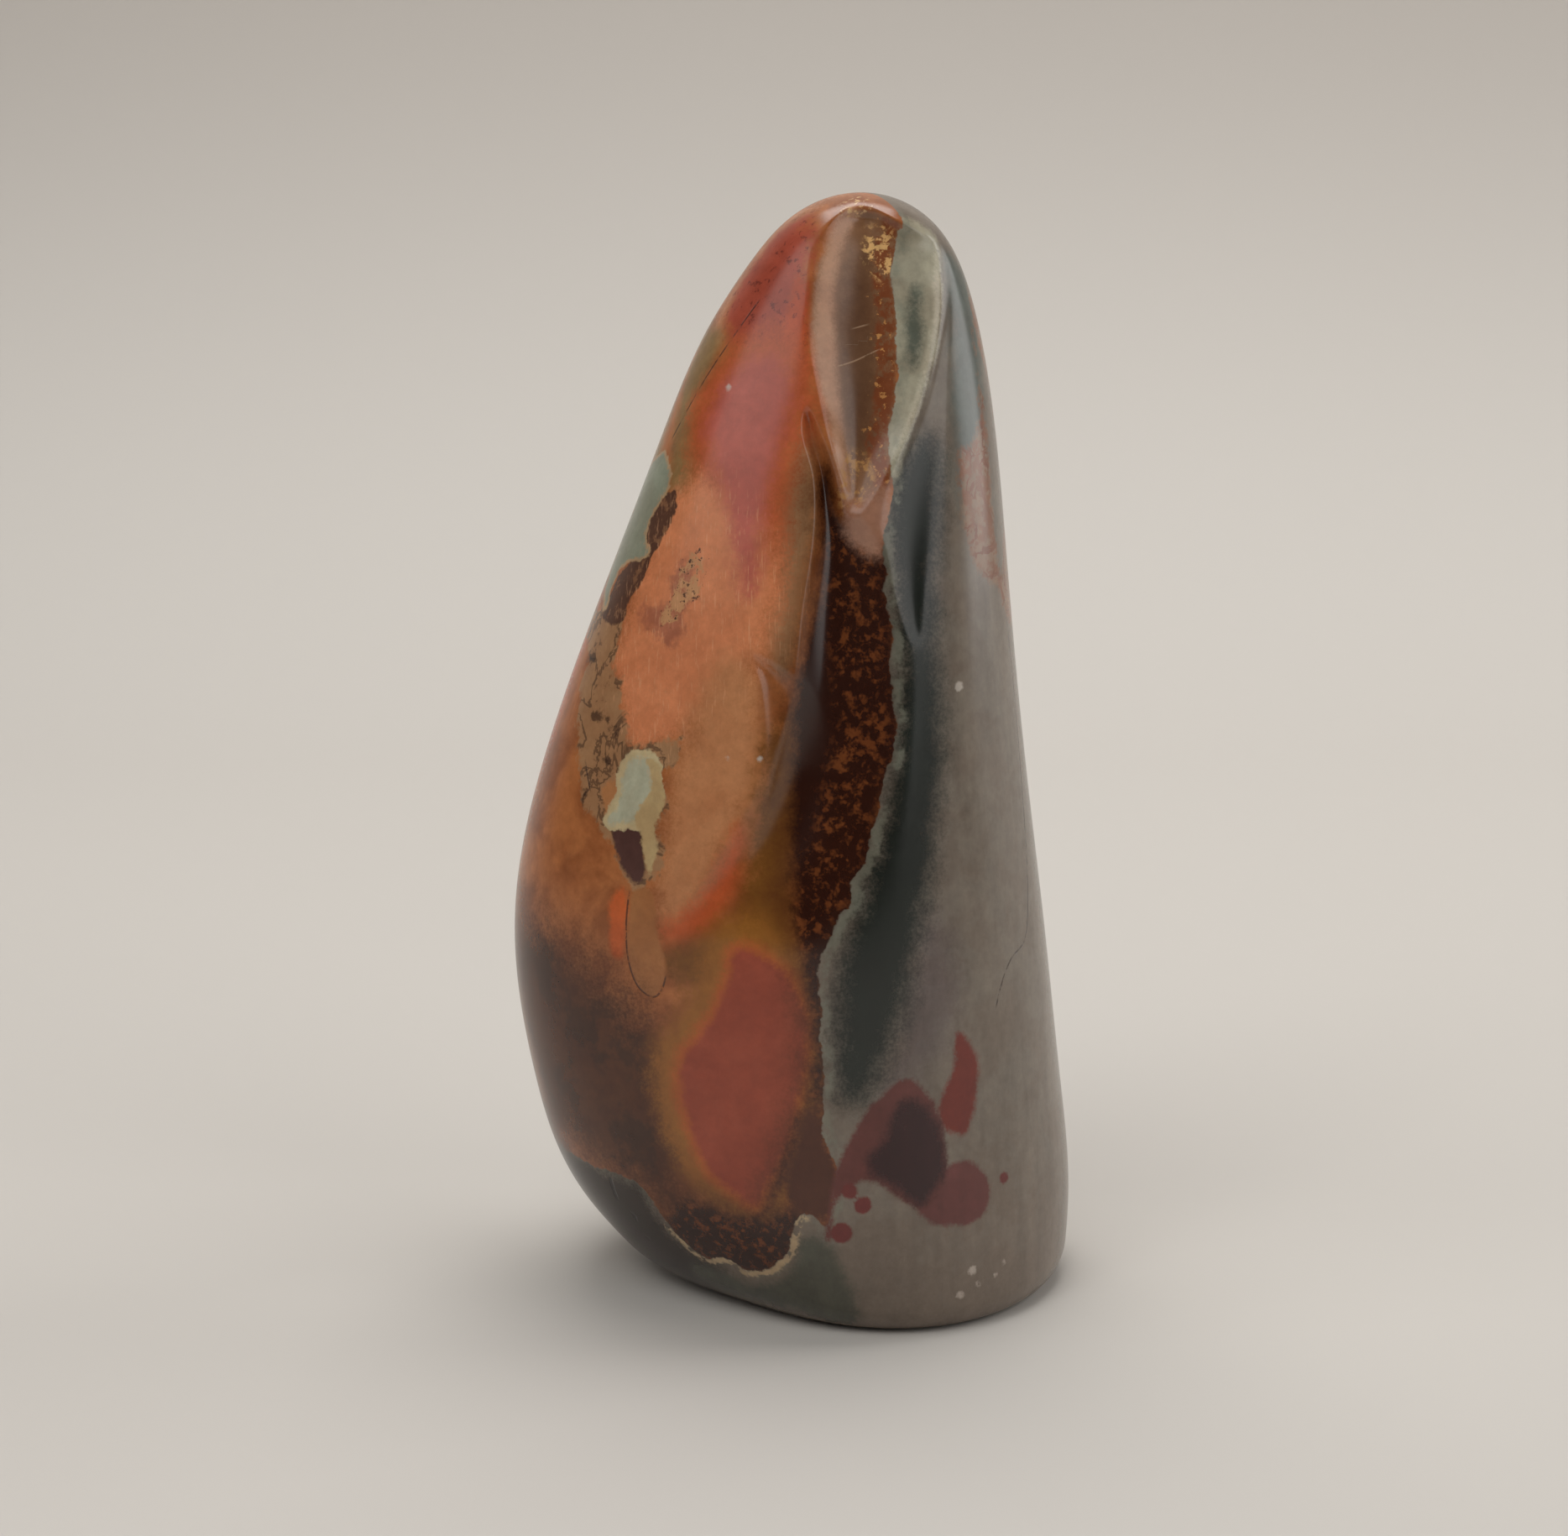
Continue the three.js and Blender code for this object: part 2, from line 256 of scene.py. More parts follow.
# the colour patches. Outlines are pixels of the photograph, or where it doesn't see them, a turn in
# degrees (right 0, back 90, left 180, front 270) and a height. An open outline is closed round the back
# by points that count for its inside and not for its edge.
patches = {
    "cool": {
        "open": True,
        "seen": [(1073, 259), (1069, 280), (1068, 298), (1062, 328), (1063, 350), (1069, 372), (1066, 402),
                 (1069, 437), (1066, 463), (1063, 489), (1057, 519), (1060, 545), (1063, 563), (1064, 580),
                 (1060, 610), (1055, 636), (1053, 658), (1056, 680), (1052, 701), (1057, 727), (1062, 753),
                 (1059, 784), (1063, 818), (1066, 844), (1068, 870), (1064, 896), (1053, 926), (1046, 962),
                 (1040, 988), (1031, 1028), (1016, 1050), (1014, 1076), (998, 1094), (990, 1120), (979, 1138),
                 (973, 1164), (979, 1208), (976, 1235), (980, 1274), (981, 1318), (983, 1358), (998, 1393),
                 (992, 1428), (985, 1462), (970, 1450), (954, 1448), (944, 1468), (939, 1490), (924, 1504),
                 (904, 1515), (882, 1509), (862, 1497), (846, 1499), (829, 1490), (807, 1472), (789, 1450),
                 (776, 1428), (754, 1408), (725, 1394), (700, 1385)],
        "round": [(180, 22), (163, 24), (150, 34), (141, 52), (132, 60), (124, 78), (113, 88), (104, 106),
                  (88, 118), (78, 133), (58, 143), (40, 153), (20, 157.5)],
        "closing": [(20, 170), (10, 170), (10, -10), (130, -10), (250, -10), (370, -10), (370, 170), (310, 170)],
    },
    "brick": {"seen": [(960, 262), (968, 290), (958, 330), (956, 400), (950, 450), (930, 425), (900, 420),
                       (874, 405), (862, 385), (876, 350), (905, 305), (930, 275)]},
    "salmon": {"seen": [(985, 236), (960, 250), (925, 280), (893, 320), (865, 368), (852, 400), (838, 402),
                        (862, 355), (890, 310), (925, 268), (960, 240)],
               "round": [(150, 158), (120, 157), (135, 146), (165, 135), (190, 138)]},
    "stripe": {"seen": [(950, 330), (962, 345), (960, 400), (964, 450), (952, 480), (944, 450), (934, 400),
                        (940, 360)]},
    "rose": {"seen": [(899, 428), (925, 424), (943, 463), (936, 506), (921, 550), (913, 593), (906, 636),
                      (906, 680), (895, 712), (880, 690), (872, 640), (862, 593), (850, 550), (839, 502),
                      (856, 467), (878, 441)]},
    "roseLow": {"seen": [(875, 1138), (866, 1175), (854, 1202), (832, 1236), (814, 1262), (811, 1292), (825, 1348),
                         (844, 1391), (868, 1415), (900, 1437), (915, 1410), (936, 1372), (953, 1301), (962, 1240),
                         (957, 1202), (939, 1164), (910, 1141), (890, 1132)]},
    "roseBack": {"round": [(70, 64), (79, 75), (90, 72), (95, 60), (104, 54), (105, 42), (96, 36), (93, 24),
                           (83, 17), (77, 27), (67, 30), (70, 44), (62, 52)]},
    "roseTop": {"round": [(96, 150), (118, 147), (132, 138), (128, 126), (116, 122), (108, 134), (96, 142)]},
    "lobeBack": {"round": [(118, 116), (134, 124), (148, 112), (150, 98), (158, 86), (146, 80), (134, 92),
                           (122, 102)]},
    "farSide": {"round": [(24, 150), (90, 152), (160, 146), (172, 100), (172, 40), (170, 6), (100, 4), (30, 6),
                          (10, 40), (14, 100)]},
    "roseSide": {"round": [(172, 104), (180, 90), (176, 74), (166, 62), (156, 66), (158, 84), (163, 98)]},
    "lobe": {"seen": [(804, 602), (834, 580), (869, 600), (900, 640), (925, 690), (915, 740), (899, 784),
                      (870, 806), (840, 836), (800, 872), (773, 888), (752, 879), (743, 836), (734, 797),
                      (739, 766), (752, 732), (765, 688), (778, 654), (791, 623)]},
    "olive": {"seen": [(843, 393), (860, 395), (850, 437), (832, 480), (830, 523), (820, 575), (800, 584),
                       (788, 550), (795, 510), (815, 455), (832, 412)],
              "round": [(205, 118), (190, 112), (180, 122), (185, 134)]},
    "oliveMid": {"seen": [(940, 500), (960, 510), (969, 550), (974, 610), (966, 654), (952, 740), (938, 800),
                          (920, 790), (912, 740), (922, 654), (930, 610), (938, 558)]},
    "oliveLow": {"seen": [(908, 880), (952, 850), (965, 953), (952, 1032), (952, 1098), (958, 1160), (930, 1150),
                          (900, 1130), (870, 1160), (830, 1180), (800, 1160), (800, 1130), (850, 1110), (882, 1076),
                          (890, 1010), (904, 944)]},
    "oliveBack": {"round": [(128, 40), (140, 30), (156, 40), (168, 30), (176, 44), (160, 60), (150, 82), (138, 70)]},
    "tan": {"seen": [(850, 790), (895, 790), (908, 850), (906, 920), (882, 979), (864, 1014), (846, 1058),
                     (820, 1092), (794, 1102), (785, 1076), (782, 1045), (788, 1006), (796, 953), (812, 900),
                     (825, 850)]},
    "ember": {"seen": [(880, 985), (890, 1000), (888, 1040), (866, 1080), (838, 1113), (800, 1124), (788, 1105),
                       (820, 1085), (846, 1055), (864, 1014)]},
    "dusk": {"seen": [(708, 730), (741, 730), (737, 766), (728, 797), (741, 812), (743, 850), (752, 890),
                      (800, 880), (806, 900), (790, 920), (792, 960), (780, 975), (790, 1020), (775, 1060),
                      (750, 1062), (735, 1020), (715, 985), (694, 950), (688, 896), (691, 827), (700, 775)]},
    "umber": {"seen": [(786, 593), (804, 589), (800, 619), (784, 649), (775, 665), (767, 688), (749, 719),
                       (741, 742), (719, 738), (726, 710), (739, 684), (752, 667), (767, 650), (773, 619)]},
    "umberBack": {"round": [(150, 128), (158, 118), (160, 104), (152, 92), (147, 98), (143, 112), (144, 122)]},
    "verdigris": {"seen": [(790, 541), (797, 558), (796, 578), (786, 593), (773, 619), (766, 647), (771, 660),
                           (747, 668), (735, 682), (728, 701), (722, 722), (722, 700), (740, 648), (758, 600)],
                  "round": [(178, 92), (170, 98), (166, 108), (172, 118), (181, 121)]},
    "island": {"seen": [(745, 904), (762, 898), (778, 902), (787, 922), (786, 950), (776, 975), (765, 984),
                        (748, 982), (732, 984), (724, 975), (736, 950), (738, 925)]},
    "ivory": {"seen": [(770, 905), (788, 915), (790, 957), (780, 979), (782, 1006), (775, 1045), (766, 1016),
                       (764, 990), (756, 975), (770, 950), (776, 925)]},
    "sandRim": {"seen": [(736, 930), (742, 945), (736, 975), (726, 980), (719, 957), (717, 938)]},
    "plumBrown": {"seen": [(732, 988), (763, 988), (768, 1023), (768, 1050), (754, 1054), (741, 1032), (732, 1010)]},
    "taupeLobe": {"seen": [(752, 1063), (776, 1058), (781, 1094), (789, 1138), (791, 1168), (780, 1186),
                           (763, 1177), (752, 1151), (747, 1111), (750, 1085)]},
    "sliver": {"seen": [(732, 1063), (745, 1058), (750, 1076), (745, 1107), (741, 1138), (728, 1133), (725, 1102),
                        (725, 1076)]},
    "cluster": {"seen": [(826, 664), (836, 672), (830, 698), (814, 722), (806, 740), (796, 744), (786, 740),
                         (796, 722), (806, 704), (812, 680)]},
    "smudge": {"seen": [(812, 668), (826, 680), (820, 712), (815, 745), (798, 765), (775, 750), (760, 728),
                        (768, 714), (795, 720), (802, 690)]},
    # the dark brown band down the valley: the stone's own dark brown, its core painted darker as shade
    "umberTopAndShade": {"seen": [(985, 560), (996, 610), (1012, 630), (1040, 655), (1058, 655), (1066, 720), (1070, 820),
                          (1072, 900), (1050, 960), (1035, 1040), (1010, 1100), (985, 1160), (984, 1230),
                          (986, 1330), (978, 1310), (958, 1320), (940, 1370), (926, 1410), (916, 1440), (905, 1452),
                          (922, 1450), (945, 1440), (958, 1456), (946, 1476), (942, 1500), (905, 1520), (860, 1504),
                          (826, 1496), (802, 1472), (800, 1448), (815, 1432), (846, 1440), (880, 1450), (908, 1446),
                          (930, 1400), (958, 1330), (970, 1240), (962, 1180), (955, 1130), (948, 1080), (945, 1000),
                          (946, 900), (950, 830), (966, 760), (980, 700), (982, 640), (976, 590)]},
    "subBand": {"seen": [(954, 1330), (978, 1315), (983, 1358), (997, 1393), (990, 1459), (968, 1452), (943, 1441),
                         (937, 1406), (948, 1362)]},
    "scoopBrown": {"seen": [(1022, 248), (1003, 262), (988, 290), (972, 330), (970, 390), (976, 440), (988, 490),
                            (998, 540), (1006, 580), (1020, 600), (1050, 590), (1066, 563), (1070, 463),
                            (1072, 372), (1074, 270)]},
    "scoopDeep": {"seen": [(1030, 290), (1046, 320), (1050, 400), (1048, 480), (1036, 540), (1014, 540),
                           (1004, 480), (1000, 420), (1004, 350), (1015, 310)]},
    # a painted highlight: the pinkish sheen where the rise below the scoop reflects the light from above
    "saddlePaintedHighlight": {"seen": [(1010, 604), (1030, 596), (1052, 578), (1062, 600), (1056, 636), (1044, 662), (1022, 650),
                        (1008, 630)]},
    "gold": {"seen": [(1036, 268), (1062, 275), (1066, 320), (1052, 335), (1036, 320), (1030, 290)]},
    "goldTop": {"seen": [(1000, 246), (1016, 236), (1034, 238), (1040, 250), (1022, 256), (1006, 258)]},
    "goldLow": {"seen": [(1008, 540), (1030, 545), (1044, 570), (1024, 600), (1006, 620), (998, 590)]},
    "creamRim": {"seen": [(796, 1456), (830, 1478), (862, 1486), (900, 1500), (936, 1474), (944, 1442), (962, 1452),
                          (960, 1490), (936, 1530), (870, 1530), (800, 1494)]},
    # a painted highlight: the light that the scoop's left inner rim reflects, laid into its colour
    "rimPaintedHighlight": {"seen": [(1012, 244), (988, 282), (974, 340), (970, 400), (976, 450), (988, 500), (997, 556),
                         (1008, 604), (1018, 606), (1010, 550), (1002, 490), (996, 430), (993, 370), (996, 320),
                         (1008, 280), (1022, 252)]},
    # a painted highlight: the thin line of light along the scoop's right rim
    "rimLinePaintedHighlight": {"seen": [(1114, 290), (1120, 330), (1120, 370), (1109, 430), (1097, 480), (1082, 520), (1068, 546),
                         (1064, 538), (1077, 508), (1091, 470), (1103, 424), (1113, 370), (1113, 328)]},
    # the lower left of the grey stone: its lavender grey painted dark as shade
    "lavenderPaintedShade": {"seen": [(680, 1370), (760, 1410), (800, 1470), (860, 1510), (870, 1540), (800, 1524), (730, 1476),
                          (690, 1420)],
                 "round": [(190, 8), (176, 14), (180, 22)]},
    # the lower left: the stone's darker brown, deepened as painted shade
    "umberLowAndShade": {"seen": [(640, 1110), (700, 1150), (760, 1215), (800, 1270), (826, 1390), (800, 1430), (740, 1400),
                          (690, 1365), (640, 1290), (614, 1180)],
                 "round": [(196, 20), (180, 30), (182, 52)]},
    # the scoop's right inner wall: the stone's pale teal, lightened by a painted reflection of the light
    "paleTealAndReflection": {"seen": [(1075, 258), (1112, 278), (1120, 320), (1122, 380), (1108, 440), (1092, 500), (1074, 545),
                          (1058, 580), (1050, 540), (1058, 480), (1060, 380), (1058, 300), (1066, 270)]},
    "inkStreak": {"seen": [(1086, 340), (1096, 350), (1098, 390), (1092, 430), (1084, 440), (1080, 400),
                           (1082, 360)]},
    "inkTeal": {"seen": [(1070, 590), (1085, 548), (1104, 530), (1114, 580), (1110, 640), (1106, 720), (1112, 800),
                         (1112, 900), (1104, 1000), (1090, 1090), (1074, 1170), (1056, 1240), (1032, 1290),
                         (1010, 1300), (1002, 1250), (1008, 1170), (1022, 1110), (1044, 1050), (1066, 960),
                         (1080, 880), (1078, 800), (1072, 720), (1070, 650)]},
    "inkBack": {"round": [(50, 128), (70, 122), (84, 104), (98, 88), (110, 68), (122, 52), (116, 40), (104, 56),
                          (94, 74), (80, 84), (72, 100), (54, 108)]},
    "groovePale": {"seen": [(1126, 300), (1150, 330), (1166, 400), (1172, 480), (1168, 560), (1150, 620),
                            (1140, 560), (1136, 480), (1134, 400), (1128, 340)]},
    "rustEdge": {"seen": [(1156, 330), (1172, 380), (1180, 450), (1188, 520), (1194, 600), (1194, 680), (1180, 690),
                          (1158, 660), (1146, 600), (1142, 540), (1160, 530), (1168, 480), (1158, 400)],
                 "round": [(340, 106), (352, 100), (0, 112), (352, 132), (345, 142)]},
    "haze": {"seen": [(1096, 1100), (1130, 1110), (1140, 1180), (1120, 1250), (1080, 1290), (1050, 1300),
                      (1070, 1220)]},
    "baseTeal": {"seen": [(830, 1505), (870, 1520), (905, 1532), (945, 1512), (950, 1480), (975, 1475),
                          (1000, 1500), (1020, 1560), (1010, 1578), (940, 1560), (880, 1545), (830, 1520)]},
    "blot": {"seen": [(1078, 1286), (1100, 1300), (1117, 1322), (1126, 1368), (1125, 1400), (1107, 1438),
                      (1084, 1436), (1058, 1420), (1034, 1405), (1010, 1416), (994, 1440), (989, 1476), (984, 1470),
                      (990, 1425), (1000, 1385), (1020, 1345), (1050, 1305)]},
    "blotCore": {"seen": [(1070, 1312), (1094, 1312), (1114, 1330), (1125, 1372), (1122, 1400), (1098, 1436),
                          (1070, 1420), (1040, 1400), (1036, 1380), (1056, 1350)]},
    "blotLobe": {"seen": [(1130, 1390), (1156, 1386), (1176, 1404), (1178, 1432), (1164, 1454), (1138, 1462),
                          (1110, 1458), (1092, 1440), (1108, 1420)]},
    "flame": {"seen": [(1141, 1230), (1156, 1246), (1166, 1268), (1164, 1300), (1153, 1345), (1136, 1351),
                       (1122, 1338), (1118, 1318), (1130, 1290), (1138, 1262)]},
    "flameBack": {"round": [(30, 70), (37, 78), (40, 66), (38, 54), (30, 48), (24, 56)]},
    "blotBack": {"round": [(41, 47), (50, 53), (56, 46), (62, 42), (61, 30), (55, 21), (47, 26), (42, 18), (38, 28),
                           (44, 37)]},
}
dots = {  # round spots in the grey stone: a pixel of the photograph and a radius in pixels
    "plumDots": [(1012, 1420, 9), (1028, 1436, 10), (1003, 1469, 12), (1196, 1403, 7)],
    "whiteSpecks": [(1158, 1513, 5), (1196, 1504, 3), (1186, 1518, 3), (1144, 1543, 5), (1143, 818, 6), (867, 904, 3),
                    (868, 462, 3), (905, 905, 3), (1166, 1530, 2)],
}
seams = {  # fine lines, as pixels of the photograph
    "cracks": [
        [(906, 356), (880, 392), (846, 442), (818, 490), (800, 524)],
        [(1201, 754), (1210, 845), (1222, 1003), (1223, 1109), (1205, 1141), (1194, 1169), (1186, 1202)],
        [(750, 1060), (746, 1100), (748, 1140), (758, 1172), (776, 1188), (788, 1180), (794, 1160)],
        [(697, 905), (700, 925), (704, 945)],
    ],
    "marks": [
        [(726, 1400), (730, 1414), (736, 1430)],
        [(748, 1440), (756, 1448), (758, 1458)],
        [(768, 1472), (776, 1478)],
    ],
    "scratches": [
        [(995, 437), (1018, 430), (1050, 415)],
        [(1014, 392), (1036, 386)],
    ],
}


farReach = 14  # millimetres round a patch within which its distance is worked out exactly
beyond = 1e9  # millimetres, farther than anything here
tiny = 1e-6  # millimetres, so that no length is zero
mostNudge = 200  # pixels that a point beside the stone moves in at most
pointsPerSpan = 4  # on the smooth curve between two given points


def castPhoto(tree, camera, pixel):  # the turn and height of what the photograph shows at a pixel
    frameMiddle = np.array([photo["width"], photo["height"]]) / 2
    inward = frameMiddle - pixel
    inward = inward / max(np.linalg.norm(inward), 1)
    for nudge in range(mostNudge):  # a pixel beside the stone moves in to its outline
        across, down = (pixel + inward * nudge - frameMiddle) / photo["focal"]
        way = camera.matrix_world.to_3x3() @ Vector((across, -down, -1))
        hit = tree.ray_cast(camera.location, way.normalized())[0]
        if hit:
            break
    place = np.array(hit) / mm
    return math.atan2(place[1] - form["middleDepth"], place[0] - middleAt(place[2])), place[2]


def unwrapped(points):  # turns that run on from each other without a jump
    turns = np.unwrap([p[0] for p in points])
    return np.stack([turns, [p[1] for p in points]], axis=-1)


def rounded(points, closed):  # more points, on a smooth curve through the given ones
    count, dense = len(points), []
    for i in range(count if closed else count - 1):
        picks = [(i + k) % count if closed else min(max(i + k, 0), count - 1) for k in (-1, 0, 1, 2)]
        a, b, c, d = points[picks]
        for t in np.arange(pointsPerSpan) / pointsPerSpan:
            dense.append(b + t / 2 * (c - a + t * (2 * a - 5 * b + 4 * c - d + t * (3 * (b - c) + d - a))))
    dense.append(points[0] if closed else points[-1])
    return np.array(dense)


def nearest(places, line):  # how far each place is from a line, its side of it, and how far inside its ends
    best, side, along = np.full(len(places), beyond), np.zeros(len(places)), np.zeros(len(places))
    start, last = 0, len(line) - 2
    for i, (a, span) in enumerate(zip(line, np.diff(line, axis=0))):
        length = max(np.linalg.norm(span), tiny)
        off = places - a
        share = off @ span / length ** 2
        gap = np.linalg.norm(off - np.clip(share, 0, 1)[:, None] * span, axis=1)
        closer = gap < best
        outward = np.array([a[0] - middleAt(a[2]), a[1] - form["middleDepth"], 0])
        best = np.where(closer, gap, best)
        side = np.where(closer, np.sign(off @ np.cross(span, outward)), side)
        run = np.clip(share, -np.inf if i == 0 else 0, np.inf if i == last else 1)
        along = np.where(closer, start + run * length, along)
        start += length
    return best, side, np.minimum(along, start - along)


def insideOf(turns, heights, loop):  # which places are inside a loop, on any lap round the stone
    inside = np.zeros(len(turns), bool)
    for lap in (-1, 0, 1):
        t = turns + lap * 2 * math.pi
        odd = np.zeros(len(turns), bool)
        for a, b in zip(loop, np.roll(loop, -1, axis=0)):
            if a[1] != b[1]:
                crosses = (a[1] > heights) != (b[1] > heights)
                odd ^= crosses & (t < (b[0] - a[0]) * (heights - a[1]) / (b[1] - a[1]) + a[0])
        inside |= odd
    return inside


def patchField(patch, cast, places, turns, heights):  # the signed distance from a patch's outline
    points = [cast(pixel) for pixel in patch.get("seen", [])]
    points += [(math.radians(turn), z) for turn, z in patch.get("round", [])]
    isOpen = patch.get("open", False)
    loop = rounded(unwrapped(points), not isOpen)
    line = sidePoint(np.clip(loop[:, 1], 0, form["height"]), loop[:, 0])
    if isOpen:
        closing = [tuple(loop[-1])] + [(math.radians(turn), z) for turn, z in patch["closing"]]
        loop = np.concatenate([loop, unwrapped(closing)[1:]])
    away = np.linalg.norm(places - line.mean(0), axis=1)
    radius = np.linalg.norm(line - line.mean(0), axis=1).max()
    near = (away < radius + farReach) | isOpen
    field = radius - away
    gap = nearest(places[near], line)[0]
    field[near] = np.where(insideOf(turns[near], heights[near], loop), gap, -gap)
    return field


def dotField(spots, cast, places):  # the signed distance from the nearest spot's edge
    field = np.full(len(places), -beyond)
    for x, y, radius in spots:
        turn, z = cast((x, y))
        gap = np.linalg.norm(places - sidePoint(np.array(z), np.array(turn)), axis=1)
        field = np.maximum(field, radius * photo["distance"] / photo["focal"] - gap)
    return field


def seamFields(seam, cast, places):  # the signed distance from the nearest line, and how far inside its ends
    best, side, reach = np.full(len(places), beyond), np.zeros(len(places)), np.zeros(len(places))
    for line in seam:
        chart = rounded(unwrapped([cast(pixel) for pixel in line]), False)
        gap, way, inner = nearest(places, sidePoint(chart[:, 1], chart[:, 0]))
        closer = gap < best
        best, side = np.where(closer, gap, best), np.where(closer, way, side)
        reach = np.where(closer, inner, reach)
    return best * side, reach


def markStone(bm, camera):  # every patch as a signed distance in millimetres, positive inside
    tree = BVHTree.FromBMesh(bm)
    places = np.array([v.co for v in bm.verts]) / mm
    heights = places[:, 2]
    turns = np.arctan2(places[:, 1] - form["middleDepth"], places[:, 0] - middleAt(heights))

    def cast(pixel):
        return castPhoto(tree, camera, pixel)

    fields = {name: patchField(patch, cast, places, turns, heights) for name, patch in patches.items()}
    fields.update({name: dotField(spots, cast, places) for name, spots in dots.items()})
    for name, seam in seams.items():
        fields[name], fields[name + "Reach"] = seamFields(seam, cast, places)
    return fields


class Wire:  # one socket, so that shader maths reads as plain maths
    def __init__(self, maker, socket):
        self.maker, self.socket = maker, socket

    def math(self, operation, first, second):
        return self.maker.node("ShaderNodeMath", {"operation": operation}, {0: first, 1: second})

    def __add__(self, other):
        return self.math("ADD", self, other)

    def __sub__(self, other):
        return self.math("SUBTRACT", self, other)

    def __mul__(self, other):
        return self.math("MULTIPLY", self, other)

    def __abs__(self):
        return self.math("ABSOLUTE", self, 0)

    def scaledOnto(self, size, other):  # other plus this times size, in one node
        return self.maker.node("ShaderNodeMath", {"operation": "MULTIPLY_ADD"}, {0: self, 1: size, 2: other})

    def step(self, low, high, top=1):  # 0 below low and top above high, with a smooth run between
        inputs = {"Value": self, "From Min": low, "From Max": high, "To Max": top}
        return self.maker.node("ShaderNodeMapRange", {"interpolation_type": "SMOOTHSTEP"}, inputs)


class Maker:  # makes the nodes of one material or world
    def __init__(self, tree):
        self.tree = tree
        tree.nodes.clear()

    def node(self, kind, settings=None, inputs=None, output=0):
        made = self.tree.nodes.new(kind)
        for name, value in (settings or {}).items():
            setattr(made, name, value)
        for name, value in (inputs or {}).items():
            if isinstance(value, Wire):
                self.tree.links.new(value.socket, made.inputs[name])
            else:
                made.inputs[name].default_value = value
        return Wire(self, made.outputs[output]) if made.outputs else None

    def mix(self, share, first, second):  # two colours
        settings = {"data_type": "RGBA", "clamp_factor": True}
        return self.node("ShaderNodeMix", settings, {0: share, 6: first, 7: second}, output=2)

    def noise(self, space, scale, detail, roughness, distortion=0):
        inputs = {"Vector": space, "Scale": scale, "Detail": detail, "Roughness": roughness, "Distortion": distortion}
        return self.node("ShaderNodeTexNoise", {}, inputs)

    def field(self, name):
        return self.node("ShaderNodeAttribute", {"attribute_name": name + "Patch"}, output="Fac")


def linear(tone):  # a tone of 0 to 255 as a linear colour
    shares = [c / 255 for c in tone]
    return tuple(s / 12.92 if s <= 0.04045 else ((s + 0.055) / 1.055) ** 2.4 for s in shares) + (1,)


